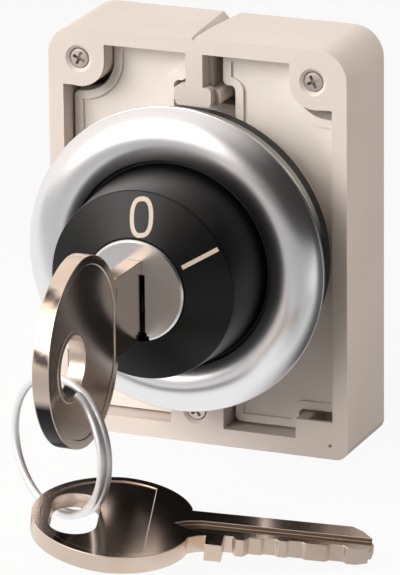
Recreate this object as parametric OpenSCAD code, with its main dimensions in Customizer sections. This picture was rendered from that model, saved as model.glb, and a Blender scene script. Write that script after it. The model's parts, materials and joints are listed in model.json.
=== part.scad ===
// Key-operated selector switch with two positions, 60 degrees apart.
// Lengths are in millimetres. The origin lies where the lock's axis meets the
// plane of the frame's front face. The front faces -Y, and Z points up.

/* [Frame] */
// Width of the frame
frame_w = 40.5; // [38:0.5:44]
// Height of the frame
frame_h = 53.8; // [52:0.2:58]
// Depth of the frame from its front face to its rear face
frame_d = 13.2; // [12.8:0.2:14]
// Height of the lock's axis above the frame's lower edge
axis_h = 26.75; // [26:0.25:28]
// Thickness of the frame's side walls
side_wall = 2; // [1.6:0.1:2.4]
// Thickness of the frame's top wall
top_wall = 2.1; // [1.8:0.1:2.4]
// Thickness of the frame's bottom wall
bottom_wall = 2.3; // [1.8:0.1:2.6]
// Radius of the frame's upper corners
top_corner_r = 4; // [3:0.5:5]
// Radius of the frame's lower corners
bottom_corner_r = 1.5; // [1:0.5:2.5]
// Radius of the bosses that hold the frame's screws
boss_r = 3.4; // [3.2:0.1:3.6]

/* [Front Ring] */
// Outer radius of the front ring's lip
ring_r = 20; // [19.5:0.1:20.5]
// Radius of the front ring's mouth
ring_mouth_r = 13.4; // [13.3:0.05:13.8]
// Outer radius of the sealing gasket behind the ring
gasket_r = 18.7; // [18:0.1:19]
// Thickness of the sealing gasket
gasket_t = 4.2; // [3:0.1:4.3]

/* [Lock] */
// Radius of the black lock housing at the edge of its face
housing_face_r = 12.35; // [12:0.05:12.6]
// Radius of the housing's barrel, which fills a panel hole of 30.5
barrel_r = 14.9; // [14.8:0.05:15]
// Distance of the lock plug's face in front of the frame
plug_reach = 21; // [20:0.1:22]
// Radius of the lock plug's face
plug_face_r = 6.57; // [6.45:0.01:6.6]
// Number of wafer tumblers
wafer_count = 5; // [3:1:5]
// Angle through which the key turns
turn_angle = 60; // [45:5:60]

/* [Key] */
// Length of a key's blade
blade_len = 22.4; // [21:0.1:23]
// Radius of the first key's round bow
bow_1_r = 12.1; // [11.8:0.1:12.2]
// Radius of the spare key's round bow
bow_2_r = 11.1; // [10.8:0.1:11.2]
// Thickness of the key
key_t = 2.2; // [2:0.1:2.3]
// Distance of the first key's round end in front of the frame
key_reach = 50; // [49.5:0.1:50.2]
// Diameter of the split ring's wire
wire_d = 1; // [0.9:0.05:1.1]
// Radius of the split ring at the middle of its wire
split_r = 8.65; // [8.6:0.05:8.7]

/* [Contact Block] */
// Travel of the contact plungers over the key's turn
plunger_travel = 2.5; // [2:0.1:2.5]
// Width of one contact block
block_w = 10.2; // [9.8:0.1:10.4]
// Height of the contact blocks
block_h = 37; // [34:0.5:38]
// Depth of the contact blocks
block_d = 18.6; // [18:0.1:19]

/* [Hidden] */
$fn = 64;
eps = 0.01;

// Edges of the frame in its own plane
left_x = -frame_w / 2;
right_x = frame_w / 2;
bottom_z = -axis_h;
top_z = frame_h - axis_h;
cavity_w = frame_w - 2 * side_wall;
cavity_bottom = bottom_z + bottom_wall;
cavity_top = top_z - top_wall;

// The bosses and the three screws of the frame
boss_x = 16;
boss_z = 22.6;
boss_low_z = 19.3;
screw_left_x = -16.1;
screw_right_x = 15.7;
screw_z = 22.8;
low_screw_x = -0.5;
low_screw_z = -22.45;
screw_spots = [[screw_left_x, screw_z], [screw_right_x, screw_z], [low_screw_x, low_screw_z]];
screw_head_r = 1.25;
screw_head_t = 1.1;
screw_shank_r = 0.9;
screw_hole_r = 0.95;
screw_sink_r = 1.35;
screw_mouth_r = 1.8;
screw_sink = 1.3;
screw_mouth_deep = 0.35;
screw_tip_r = 0.72;

// Blocks moulded on the frame's floor
foot_left = -3.9;
foot_right = 3.3;
foot_top = -18.2;
corner_left = 13.2;
corner_top = -21.85;
pocket_left = 14.7;
pocket_front = 0.5;
pocket_deep = 2;

// The T-shaped lug that reaches down from the top wall: its front part, and its back part from lug_step
lug_left = -1.45;
lug_right = 0.85;
lug_back_side = 0.45;
lug_step = 2.2;
head_left = -2.9;
head_right = 1.95;
head_back_side = 0.8;
head_bottom = 18.1;
head_top = 20.6;
head_back_top = 20.1;
head_step = 1.5;
head_round = 0.6;
lug_end = 5.6;

// The notch in the frame's top wall, wide behind and narrow in front
notch_x = -0.3;
notch_back_half = 1.45;
notch_back_deep = 1.4;
notch_front_half = 0.4;
notch_front_deep = 0.4;

// The recessed panel and the ledge behind it
panel_y = 3.4;
panel_t = 2.5;
panel_gap = 0.3;
panel_rim = 1.05;
panel_rim_up = 0.4;
panel_round = 0.7;
panel_hub_r = 16.4;
panel_tube_r = 17.1;
// Where the panel is cut away: centre and radius round each boss, half widths round the lug
boss_cuts = [[-16.9, 22.2, 4.5], [16.6, 21.8, 4.6]];
lug_cut_x = -0.1;
lug_cut_half = 2.55;
head_cut_half = 4.2;
head_cut_top = 20.4;
head_cut_bottom = 15.6;
foot_gap = 0.5;
corner_cut = 0.7;
corner_gap = 0.35;
ledge_y = panel_y + panel_t;
cover_t = 2.2;
cover_y = frame_d - cover_t;
cover_hole_r = 13.4;
cover_rib_r = 15.6;
cover_rib_t = 1.4;
cover_rib_up = 1.2;
pilot_r = 0.75;
window_x = 12;
window_z = 18.5;
window_half_w = 2.5;
window_half_h = 1.4;

// Places along the lock's axis
gasket_back = -0.3;
gasket_front = gasket_back - gasket_t;
ring_skirt_r = gasket_r - 0.2;
ring_back = -6.8;
ring_edge = -7.4;
mouth_y = -9.35;
crown_r = 15.97;
crown_y = -5.91;
crown_arc = 4.29;
shoulder_y = -8.1;
face_edge_y = -18.2;
face_hub_y = -20.6;
housing_end = 9.5;
nut_front = ledge_y + 2.1;
barrel_front = -17.6;
barrel_end = 9;
core_front = -19;
core_end = 4;
tail_end = 15.4;
plug_core_r = 6.35;
neck_r = 12.88;
seal_r = 0.25;
seal_back = 0.45;
stator_r = 8.9;
stator_flange_r = 11.6;
stator_flange_t = 1.2;
clip_room_r = 6.8;
clip_r = 6.3;
clip_t = 0.8;
chamber_half_w = 3.6;
chamber_half_h = 7.6;
nut_wall = 2.1;
nut_slot_deep = 0.6;
wafer_pitch = 2.3;
wafer_first = -16.6;
wafer_t = 1;
wafer_half_w = 3.25;
wafer_top = 7;
wafer_leg = -3.2;
wafer_step = 0.35;
wafer_play = 0.1;
wafer_gap = 0.2;
tail_r = 4;
tail_half_x = 2.8;
tail_half_z = 1.9;
running_gap = 0.05;
nut_t = 1.4;

// The cam's ramps, whose rise is even over the turn
cam_y = 10.1;
cam_base = 12;
cam_r = 8.6;
hub_r = 4;
ramp_inner = 3.9;
ramp_outer = 7.2;
ramp_rise = plunger_travel / turn_angle;
ramp_start = -18;
ramp_end = turn_angle + 18;
ramp_foot = 0.3;

// The contact blocks and what moves in them
adapter_y = frame_d + 0.2;
adapter_t = 3.8;
adapter_half_w = 14.5;
adapter_edge = 1.2;
adapter_round = 2;
adapter_hole_r = 9.2;
collar_r = 13.2;
collar_in_r = 12;
clamp_half_w = 4;
clamp_t = 1.1;
clamp_up = 3;
rail_x = 12.4;
rail_half_w = 0.9;
rail_half_h = 9;
block_y = adapter_y + adapter_t + 0.1;
block_gap = 0.15;
block_wall = 1.4;
block_x = block_gap + block_w / 2;
block_round = 0.8;
chamber_h = 18;
well_r = 2.6;
entry_y = block_y + 6.6;
entry_h = 4.4;
strip_t = 0.8;
plunger_x = 5.35;
stem_r = 1.2;
collar_seat_r = 2.1;
collar_seat_t = 1.4;
rod_r = 0.9;
rod_len = 5.4;
tip_gap = 0.15;
tip_y = cam_base + ramp_foot - ramp_start * ramp_rise + tip_gap + 0.12;
bridge_y = 21.6;
bridge_t = 0.6;
bridge_w = 2.6;
bridge_h = 15;
contact_gap = 0.06;
contact_z = 6;
button_r = 1;
button_t = 0.5;
strip_half_w = 1.6;
blade_strip_t = 0.6;
plate_half_w = 2.4;
plate_end = 3.2;
terminal_z = 13.4;
clamp_head_r = 2.3;
clamp_head_t = 2.4;
clamp_head_y = block_y + 9.6;
clamp_shank_r = 1.3;
spring_turns = 5;
spring_r = 1.75;
spring_wire = 0.2;

// The bows: where each ends, its nearly round shoulders and the lower field inside its rim
neck_1 = 21.3;
neck_2 = 19.3;
shoulder_back = 0.95;
shoulder_up = 1.5;
rim_w = 1.1;
rim_up = 0.15;
field_1_end = neck_1 - 0.8;
field_2_end = 14.45;

// The blade, measured from the bow: its straight edge, its cut edge, the stop and the bead
blade_back = 3.8;
blade_cut = 2.2;
blade_root = 4;
stop_at = 2.2;
stop_w = 2.1;
stop_v = 5.1;
bead_at = 5.4;
bead_w = 1.6;
bead_v = 3.1;
groove_1_from = 0.6;
groove_2_from = -1.8;
groove_up = 1.15;
groove_low = 1.65;
groove_deep = 0.5;

// The keyway and how the first key stands in it
keyway_top = 2.25;
keyway_gap = 0.12;
mouth_side = 1.7;
mouth_deep = 3;
notch_half = 2;
blade_drop = 2.4;
eye_at = 7.5;
eye_off = 0.6;
eye_r = 3.8;
eye_rim_r = 4.5;
slot_at = 5.25;
slot_half = 2.9;
slot_reach = 5.55;
// Cuts of the bitting: distance along the blade, length and depth
bitting = [[9.2, 1.4, 0.35], [12.2, 1.7, 0.3], [17.2, 1.6, 0.5]];

// Where the split ring and the second key hang
split_at = [-1.72, -41.11, -13.98];
split_yaw = -29.1;
key_2_at = [-2.35, -47.9, -19.75];
key_2_turn = [6, 5, 17.7];

frame_grey = [0.86, 0.83, 0.79];
panel_grey = [0.84, 0.81, 0.77];
chrome = [0.82, 0.82, 0.83];
gasket_grey = [0.72, 0.73, 0.72];
jet = [0.11, 0.11, 0.12];
zinc = [0.66, 0.67, 0.69];
silver = [0.78, 0.78, 0.78];
nickel = [0.72, 0.63, 0.55];
steel = [0.7, 0.71, 0.72];
brass = [0.78, 0.62, 0.3];
block_grey = [0.24, 0.25, 0.27];
plunger_white = [0.88, 0.88, 0.85];
plunger_red = [0.72, 0.2, 0.16];

// Extrudes an outline drawn in X and Z from y0 back to y1
module along_y(y0, y1) {
    translate([0, y1, 0]) rotate([90, 0, 0]) linear_extrude(y1 - y0) children();
}

// Revolves an outline drawn in radius and Y around the lock's axis
module turned() {
    rotate([-90, 0, 0]) rotate_extrude($fn = 128) children();
}

// A plain disc or tube around the lock's axis
module disc(r, y0, y1) {
    along_y(y0, y1) circle(r);
}

module tube(r_out, r_in, y0, y1) {
    along_y(y0, y1) difference() {
        circle(r_out);
        circle(r_in);
    }
}

// A rectangle between two corners
module rect(x0, z0, x1, z1) {
    translate([x0, z0]) square([x1 - x0, z1 - z0]);
}

// A rectangle between two corners with its own radius above and below
module round_rect(x0, z0, x1, z1, r_top, r_low) {
    rect(x0, z0 + r_low, x1, z1 - r_top);
    rect(x0 + r_top, z1 - r_top - eps, x1 - r_top, z1);
    rect(x0 + r_low, z0, x1 - r_low, z0 + r_low + eps);
    for (x = [x0 + r_top, x1 - r_top]) translate([x, z1 - r_top]) circle(r_top);
    for (x = [x0 + r_low, x1 - r_low]) translate([x, z0 + r_low]) circle(r_low);
}

module frame_outline() {
    round_rect(left_x, bottom_z, right_x, top_z, top_corner_r, bottom_corner_r);
}

module cavity_outline(shrink = 0) {
    round_rect(
        left_x + side_wall + shrink, cavity_bottom + shrink,
        right_x - side_wall - shrink, cavity_top - shrink,
        top_corner_r - side_wall, 0.6
    );
}

// The tapering notch across the top wall
module top_notch() {
    translate([notch_x, 0, 0]) polyhedron(
        points = [
            [-notch_front_half, -1, top_z + 1], [notch_front_half, -1, top_z + 1],
            [0, -1, top_z - notch_front_deep],
            [-notch_back_half - 0.7, frame_d + 1, top_z + 1],
            [notch_back_half + 0.7, frame_d + 1, top_z + 1],
            [0, frame_d + 1, top_z - notch_back_deep]
        ],
        faces = [[0, 1, 2], [3, 5, 4], [0, 3, 4, 1], [1, 4, 5, 2], [2, 5, 3, 0]]
    );
}

// A screw boss is round inwards and below, and runs on to the side wall and the top wall
module screw_bosses(y0, y1) {
    along_y(y0, y1) for (side = [0, 1]) mirror([side, 0]) {
        translate([boss_x, boss_z]) circle(boss_r);
        rect(boss_x, boss_low_z, right_x - side_wall + eps, cavity_top + eps);
        rect(boss_x - boss_r, boss_z, boss_x + eps, cavity_top + eps);
    }
}

// The block on the floor that holds the lower screw
module low_foot(y0, y1) {
    along_y(y0, y1) rect(foot_left, bottom_z + 1, foot_right, foot_top);
}

// The block in the lower corner, with a pocket behind its front face
module corner_foot(y0, y1) {
    difference() {
        along_y(y0, y1) rect(corner_left, bottom_z + 1, right_x - 1, corner_top);
        along_y(pocket_front, panel_y + panel_t)
            rect(pocket_left, corner_top - pocket_deep, right_x - side_wall, corner_top + 1);
    }
}

module t_lug() {
    along_y(0, lug_step + eps) rect(lug_left, head_bottom + head_round, lug_right, top_z - 1);
    along_y(lug_step, lug_end)
        rect(lug_left - lug_back_side, head_bottom + head_round, lug_right + lug_back_side, top_z - 1);
    along_y(0, head_step + eps)
        round_rect(head_left, head_bottom, head_right, head_top, head_round, head_round);
    along_y(head_step, lug_end) round_rect(
        head_left - head_back_side, head_bottom, head_right + head_back_side, head_back_top,
        head_round, head_round
    );
}

module screw_bore(spot) {
    translate([spot[0], 0, spot[1]]) {
        disc(screw_hole_r, -1, frame_d + 1);
        disc(screw_sink_r, -1, screw_sink);
        turned() polygon([
            [0, -eps], [screw_mouth_r, -eps], [screw_sink_r, screw_mouth_deep], [0, screw_mouth_deep]
        ]);
    }
}

module front_frame() {
    color(frame_grey) difference() {
        union() {
            difference() {
                along_y(0, frame_d) frame_outline();
                along_y(-1, ledge_y) cavity_outline();
                along_y(ledge_y - eps, cover_y) cavity_outline(1);
                along_y(cover_y - eps, frame_d + 1) cavity_outline();
            }
            screw_bosses(0, cover_y);
            low_foot(0, cover_y);
            corner_foot(0, cover_y);
            t_lug();
        }
        top_notch();
        for (spot = screw_spots) screw_bore(spot);
    }
}

// Outline of the recessed panel, which clears the bosses, the feet and the lug
module panel_cut_outline() {
    difference() {
        cavity_outline(panel_gap);
        for (cut = boss_cuts) let (x = cut[0], z = cut[1], r = cut[2], side = sign(x)) {
            translate([x, z]) circle(r);
            rect(min(x, side * right_x), z - r, max(x, side * right_x), top_z);
            rect(min(x, x - side * r), z, max(x, x - side * r), top_z);
        }
        rect(foot_left - foot_gap, bottom_z, foot_right + foot_gap, foot_top + foot_gap);
        rect(corner_left - corner_cut, bottom_z, right_x, corner_top + corner_gap);
        rect(lug_cut_x - lug_cut_half, head_cut_bottom, lug_cut_x + lug_cut_half, top_z);
        rect(lug_cut_x - head_cut_half, head_cut_bottom, lug_cut_x + head_cut_half, head_cut_top);
    }
}

// The same outline with every corner rounded
module panel_outline() {
    offset(r = -panel_round, $fn = 32) offset(r = 2 * panel_round, $fn = 32)
        offset(delta = -panel_round) panel_cut_outline();
}

module inner_panel() {
    color(panel_grey) difference() {
        union() {
            along_y(panel_y, ledge_y) panel_outline();
            along_y(panel_y - panel_rim_up, panel_y + eps) difference() {
                panel_outline();
                offset(delta = -panel_rim) panel_outline();
            }
            disc(panel_tube_r, ledge_y - eps, nut_front);
            disc(panel_hub_r, gasket_back, panel_y + eps);
        }
        disc(barrel_r + 0.1, -1, frame_d);
    }
}

// The plate that closes the frame behind, with stiffening ribs round its opening
module rear_cover() {
    color(frame_grey) difference() {
        union() {
            along_y(cover_y, frame_d) cavity_outline(0.1);
            tube(cover_rib_r, cover_rib_r - cover_rib_t, cover_y - cover_rib_up, cover_y + eps);
        }
        disc(cover_hole_r, 0, frame_d + 1);
        for (spot = screw_spots) translate([spot[0], 0, spot[1]]) disc(pilot_r, 0, frame_d + 1);
        for (x = [-window_x, window_x]) for (z = [-window_z, window_z]) {
            along_y(cover_y - 2, frame_d + 1)
                rect(x - window_half_w, z - window_half_h, x + window_half_w, z + window_half_h);
        }
    }
}

module frame_screws() {
    color(steel) for (spot = screw_spots) translate([spot[0], 0, spot[1]]) {
        disc(screw_head_r, screw_sink - screw_head_t, screw_sink);
        disc(screw_shank_r, screw_sink - eps, cover_y - 0.2);
        disc(screw_tip_r, cover_y - 0.21, frame_d - 0.4);
    }
}

// Section of the front ring: a lip, a crowned face and a threaded skirt
module ring_section() {
    difference() {
        union() {
            intersection() {
                rect(ring_mouth_r, crown_y - crown_arc - 1, ring_r, ring_edge);
                translate([crown_r, crown_y]) circle(crown_arc, $fn = 96);
            }
            rect(ring_mouth_r, ring_edge - eps, ring_r, ring_back);
            rect(ring_mouth_r, ring_back - eps, ring_skirt_r, gasket_front);
        }
        rect(0, shoulder_y, barrel_r + 0.05, 0);
    }
}

module front_ring() {
    color(chrome) turned() ring_section();
}

module sealing_gasket() {
    color(gasket_grey) tube(gasket_r, barrel_r + 0.3, gasket_front, gasket_back);
}

module housing_seal() {
    color(jet) turned()
        translate([ring_mouth_r - seal_r, shoulder_y - seal_back]) circle(seal_r, $fn = 24);
}

module lock_housing() {
    color(jet) difference() {
        turned() polygon([
            [0, face_hub_y], [plug_face_r + 0.25, face_hub_y],
            [housing_face_r - 0.3, face_edge_y - 0.15], [housing_face_r, face_edge_y + 0.15],
            [neck_r, mouth_y], [neck_r, shoulder_y], [barrel_r, shoulder_y],
            [barrel_r, housing_end], [0, housing_end]
        ]);
        disc(plug_face_r + running_gap, -30, barrel_front + eps);
        disc(stator_r + running_gap, barrel_front, housing_end + 1);
    }
}

// The stator that guides the plug, with a chamber for the wafers above and below
module lock_barrel() {
    color(zinc) difference() {
        union() {
            disc(stator_r, barrel_front, cam_y - 0.2);
            disc(stator_flange_r, housing_end, housing_end + stator_flange_t);
        }
        disc(cam_r + 0.2, cam_y - 0.2, frame_d);
        disc(plug_core_r + running_gap, -30, core_end + 0.2);
        disc(tail_r + running_gap, 0, frame_d);
        disc(clip_room_r, barrel_end, frame_d);
        along_y(barrel_front + 0.8, 2)
            rect(-chamber_half_w, -chamber_half_h, chamber_half_w, chamber_half_h);
    }
}

module ring_nut() {
    color(zinc) difference() {
        disc(barrel_r + nut_wall, nut_front, nut_front + nut_t);
        disc(barrel_r + 0.02, 0, frame_d);
        for (a = [0:45:315]) rotate([0, a, 0]) {
            along_y(0, frame_d) rect(barrel_r + nut_wall - nut_slot_deep, -1, barrel_r + 2 * nut_wall, 1);
        }
    }
}

// The slot for the key's blade is open below; its mouth is wider on one side, with a notch at its foot
module keyway() {
    along_y(-plug_reach - 1, -3)
        rect(-key_t / 2 - keyway_gap, -plug_core_r - 1, key_t / 2 + keyway_gap, keyway_top);
    along_y(-plug_reach - 1, -plug_reach + mouth_deep)
        rect(0, -plug_core_r + 0.5, mouth_side, keyway_top);
    along_y(-plug_reach - 1, -plug_reach + mouth_deep)
        rect(-notch_half, -plug_face_r - 1, notch_half, -plug_core_r + 0.7);
}

function wafer_y(i) = wafer_first + wafer_pitch * (i - 1);

module lock_plug() {
    color(silver) difference() {
        union() {
            turned() polygon([
                [0, -plug_reach], [plug_face_r - 0.25, -plug_reach], [plug_face_r, -plug_reach + 0.25],
                [plug_face_r, core_front], [plug_core_r, core_front], [plug_core_r, core_end],
                [tail_r, core_end], [tail_r, cam_y], [0, cam_y]
            ]);
            along_y(cam_y - eps, tail_end) rect(-tail_half_x, -tail_half_z, tail_half_x, tail_half_z);
        }
        keyway();
        for (i = [1:wafer_count]) {
            along_y(wafer_y(i) - wafer_t / 2 - wafer_play, wafer_y(i) + wafer_t / 2 + wafer_play)
                rect(-wafer_half_w - wafer_play, -chamber_half_w, wafer_half_w + wafer_play, wafer_top + 1);
        }
    }
}

module plug_clip() {
    color(steel) tube(clip_r, tail_r, barrel_end + 0.1, barrel_end + 0.1 + clip_t);
}

// A wafer straddles the blade; its legs are cut to the lock's code
module wafer(i) {
    leg_end = wafer_leg + wafer_step * ((i * 2) % 3);
    color(brass) along_y(wafer_y(i) - wafer_t / 2, wafer_y(i) + wafer_t / 2) difference() {
        intersection() {
            rect(-wafer_half_w, leg_end, wafer_half_w, wafer_top);
            circle(plug_core_r - wafer_play);
        }
        rect(-key_t / 2 - wafer_gap, -wafer_top, key_t / 2 + wafer_gap, keyway_top + wafer_gap);
    }
}

// A ramp that rises evenly with its angle round the axis
module cam_ramp() {
    step = 6;
    count = round((ramp_end - ramp_start) / step);
    angles = [for (i = [0:count]) ramp_start + (ramp_end - ramp_start) * i / count];
    rows = [for (a = angles) let (h = ramp_foot + (a - ramp_start) * ramp_rise) [
        [ramp_inner * cos(a), cam_base - 0.5, ramp_inner * sin(a)],
        [ramp_outer * cos(a), cam_base - 0.5, ramp_outer * sin(a)],
        [ramp_outer * cos(a), cam_base + h, ramp_outer * sin(a)],
        [ramp_inner * cos(a), cam_base + h, ramp_inner * sin(a)]
    ]];
    polyhedron(
        points = [for (row = rows) each row],
        faces = concat(
            [[0, 1, 2, 3], [4 * count + 3, 4 * count + 2, 4 * count + 1, 4 * count]],
            [for (i = [0:count - 1]) for (k = [0:3]) let (j = (k + 1) % 4)
                each [[4 * i + j, 4 * i + k, 4 * i + 4 + k], [4 * i + j, 4 * i + 4 + k, 4 * i + 4 + j]]]
        ),
        convexity = 4
    );
}

module cam_driver() {
    color(plunger_white) difference() {
        union() {
            disc(cam_r, cam_y, cam_base);
            disc(hub_r, cam_y, tail_end);
            for (half = [0, 180]) rotate([0, half, 0]) cam_ramp();
        }
        along_y(0, frame_d * 2)
            rect(-tail_half_x - 0.01, -tail_half_z - 0.01, tail_half_x + 0.01, tail_half_z + 0.01);
    }
}

// The carrier behind the frame that the two contact blocks snap onto
module fixing_adapter() {
    clamp_z = block_h / 2 + adapter_edge / 2;
    color(block_grey) difference() {
        union() {
            along_y(adapter_y, adapter_y + adapter_t) round_rect(
                -adapter_half_w, -block_h / 2 - adapter_edge, adapter_half_w, block_h / 2 + adapter_edge,
                adapter_round, adapter_round
            );
            tube(collar_r, collar_in_r, housing_end + running_gap, adapter_y + eps);
            for (z = [-clamp_z, clamp_z]) along_y(adapter_y, block_y + clamp_up)
                rect(-clamp_half_w, z - clamp_t / 2, clamp_half_w, z + clamp_t / 2);
        }
        disc(adapter_hole_r, 0, block_y);
        for (x = [-rail_x, rail_x]) {
            along_y(0, block_y) rect(x - rail_half_w, -rail_half_h, x + rail_half_w, rail_half_h);
        }
    }
}

// One contact block's housing, with its chamber and its two terminal wells
module block_shell(side) {
    inner = block_w - 2 * block_wall;
    mirror([side < 0 ? 1 : 0, 0, 0]) translate([block_x, 0, 0]) difference() {
        along_y(block_y, block_y + block_d)
            round_rect(-block_w / 2, -block_h / 2, block_w / 2, block_h / 2, block_round, block_round);
        along_y(block_y + block_wall, block_y + block_d - block_wall)
            rect(-inner / 2, -chamber_h / 2, inner / 2, chamber_h / 2);
        translate([plunger_x - block_x, 0, 0]) disc(stem_r + 0.08, 0, block_y + block_wall + eps);
        for (end = [-1, 1]) {
            translate([0, 0, end * terminal_z]) disc(well_r, entry_y + strip_t, block_y + block_d + 1);
            along_y(entry_y, entry_y + entry_h)
                rect(-inner / 2, end > 0 ? chamber_h / 2 - 0.5 : -block_h / 2 - 1,
                    inner / 2, end > 0 ? block_h / 2 + 1 : -chamber_h / 2 + 0.5);
        }
    }
}

module block_open() {
    color(block_grey) block_shell(1);
}

module block_closed() {
    color(block_grey) block_shell(-1);
}

// A plunger with a round nose, a collar that seats the bridge and a rod for the spring
module plunger(side) {
    translate([side * plunger_x, 0, 0]) {
        translate([0, tip_y + stem_r, 0]) sphere(stem_r, $fn = 48);
        disc(stem_r, tip_y + stem_r, bridge_y - collar_seat_t + eps);
        disc(collar_seat_r, bridge_y - collar_seat_t, bridge_y);
        disc(rod_r, bridge_y - eps, bridge_y + rod_len);
    }
}

module plunger_open() {
    color(plunger_white) plunger(1);
}

module plunger_closed() {
    color(plunger_red) plunger(-1);
}

// The moving bridge with a contact button at each end
module bridge(side, face) {
    translate([side * plunger_x, 0, 0]) difference() {
        union() {
            along_y(bridge_y, bridge_y + bridge_t) rect(-bridge_w / 2, -bridge_h / 2, bridge_w / 2, bridge_h / 2);
            for (z = [-contact_z, contact_z]) translate([0, 0, z]) disc(
                button_r, bridge_y - (face > 0 ? 0 : button_t),
                bridge_y + bridge_t + (face > 0 ? button_t : 0)
            );
        }
        disc(rod_r + eps, 0, block_y + block_d);
    }
}

module bridge_open() {
    color(brass) bridge(1, 1);
}

module bridge_closed() {
    color(brass) bridge(-1, -1);
}

// A wire bent round the Y axis: one list of [angle, y] for its centre line
module bent_wire(path, bend_r, wire_r, sides) {
    last = len(path) - 1;
    polyhedron(
        points = [for (at = path) for (k = [0:sides - 1])
            let (b = 360 * k / sides, r = bend_r + wire_r * cos(b))
            [r * cos(at[0]), at[1] + wire_r * sin(b), r * sin(at[0])]],
        faces = concat(
            [[for (k = [0:sides - 1]) k], [for (k = [sides - 1:-1:0]) sides * last + k]],
            [for (i = [0:last - 1]) for (k = [0:sides - 1])
                let (j = (k + 1) % sides, here = sides * i, next = here + sides)
                each [[here + j, here + k, next + k], [here + j, next + k, next + j]]]
        ),
        convexity = 8
    );
}

// A coil spring with even pitch
module coil(y0, y1) {
    steps = spring_turns * 10;
    bent_wire([for (i = [0:steps]) [36 * i, y0 + (y1 - y0) * i / steps]], spring_r, spring_wire, 6);
}

module return_spring(side) {
    translate([side * plunger_x, 0, 0])
        coil(bridge_y + bridge_t + spring_wire + 0.1, block_y + block_d - block_wall - spring_wire - 0.05);
}

module spring_open() {
    color(steel) return_spring(1);
}

module spring_closed() {
    color(steel) return_spring(-1);
}

// Two fixed contact strips, each with a button inside and a clamp plate in its well
module terminals(side, contact_face) {
    strip_y = contact_face > 0 ? bridge_y + bridge_t + 2 * button_t + plunger_travel + contact_gap
        : bridge_y - 2 * button_t - contact_gap - blade_strip_t;
    button_y = contact_face > 0 ? strip_y - button_t : strip_y + blade_strip_t - eps;
    riser_z = chamber_h / 2 - 0.9;
    for (end = [-1, 1]) translate([side * plunger_x, 0, 0]) mirror([0, 0, end < 0 ? 1 : 0]) {
        along_y(strip_y, strip_y + blade_strip_t)
            rect(-strip_half_w, contact_z - button_r - 0.2, strip_half_w, riser_z + blade_strip_t);
        translate([0, 0, contact_z]) disc(button_r, button_y, button_y + button_t + eps);
        along_y(min(strip_y, entry_y), max(strip_y + blade_strip_t, entry_y + strip_t))
            rect(-strip_half_w, riser_z, strip_half_w, riser_z + blade_strip_t + 0.1);
        along_y(entry_y, entry_y + strip_t) rect(-plate_half_w, riser_z, plate_half_w, terminal_z + plate_end);
    }
}

module terminals_open() {
    color(brass) terminals(1, 1);
}

module terminals_closed() {
    color(brass) terminals(-1, -1);
}

module terminal_screws() {
    color(steel) for (side = [-1, 1]) for (end = [-1, 1]) {
        translate([side * block_x, 0, end * terminal_z]) {
            disc(clamp_head_r, clamp_head_y, clamp_head_y + clamp_head_t);
            disc(clamp_shank_r, entry_y + strip_t + eps, clamp_head_y + eps);
        }
    }
}

// Outline of a bow: round in front, with fuller shoulders, cut straight at its neck.
// The key lies along +X from its round end, with the bitted edge towards -Y.
module bow_outline(r, neck) {
    shoulder_x = r - shoulder_back;
    intersection() {
        translate([r, 0]) circle(r);
        rect(-1, -r, shoulder_x, r);
    }
    intersection() {
        for (side = [-1, 1]) translate([shoulder_x, side * shoulder_up]) circle(r - shoulder_up - 0.03);
        rect(shoulder_x - eps, -r, neck, r);
    }
}

// Outline of the blade from its root in the bow, with the stop, the bead and the bitting
module blade_outline() {
    low = -blade_cut;
    difference() {
        polygon([
            [-blade_root, blade_back], [blade_len - 2.8, blade_back], [blade_len - 1.5, blade_back - 1],
            [blade_len - 0.2, blade_back - 2.9], [blade_len, blade_back - 3.5], [blade_len - 0.2, low + 0.9],
            [blade_len - 2, low], [bead_at + bead_w + 0.4, low], [bead_at + bead_w - 0.2, -bead_v],
            [bead_at + 0.4, -bead_v], [bead_at, low - 0.1], [stop_at + stop_w + 0.1, low - 0.1],
            [stop_at + stop_w, -stop_v], [stop_at, -stop_v], [stop_at - 0.1, low - 0.6],
            [1.2, low - 0.85], [0.2, low - 1.5], [-0.7, low - 2.5], [-blade_root, low - 3.8]
        ]);
        for (cut = bitting) {
            polygon([
                [cut[0] - cut[2], low - eps], [cut[0], low + cut[2]],
                [cut[0] + cut[1], low + cut[2]], [cut[0] + cut[1] + cut[2], low - eps]
            ]);
        }
    }
}

// The bow's raised rim leaves a lower field inside it
module bow_field(r, neck, end) {
    intersection() {
        offset(delta = -rim_w) bow_outline(r, neck + rim_w);
        rect(0, -r, end, r);
    }
}

// The milled groove along the blade, pointed where it starts
module blade_groove(from) {
    polygon([
        [from, -0.1], [from + 1.4, 0.7], [from + 3.3, groove_up], [blade_len + 1, groove_up - 0.2],
        [blade_len + 1, 0.2 - groove_low], [from + 3.3, -groove_low], [from + 1.3, -1]
    ]);
}

// A key blank with its fields and grooves; its upper face lies at z = 0
module key_blank(r, neck, field_end, groove_from) {
    difference() {
        translate([0, 0, -key_t]) union() {
            linear_extrude(key_t) bow_outline(r, neck);
            translate([neck, 0, 0]) linear_extrude(key_t) blade_outline();
        }
        for (z = [-rim_up, -key_t - 1]) translate([0, 0, z])
            linear_extrude(1 + (z < -1 ? rim_up : 1)) bow_field(r, neck, field_end);
        for (z = [-groove_deep, -key_t - 1]) translate([neck, 0, z])
            linear_extrude(1 + (z < -1 ? groove_deep : 1)) blade_groove(groove_from);
    }
}

// The first key stands upright in the keyway, with its bitted edge up
module key_1() {
    color(nickel) translate([-key_t / 2, -key_reach, -blade_drop]) rotate([-90, 0, 90]) difference() {
        union() {
            key_blank(bow_1_r, neck_1, field_1_end, groove_1_from);
            translate([eye_at, eye_off, -key_t]) cylinder(h = key_t, r = eye_rim_r);
        }
        translate([eye_at, eye_off, -10]) cylinder(h = 20, r = eye_r);
    }
}

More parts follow.
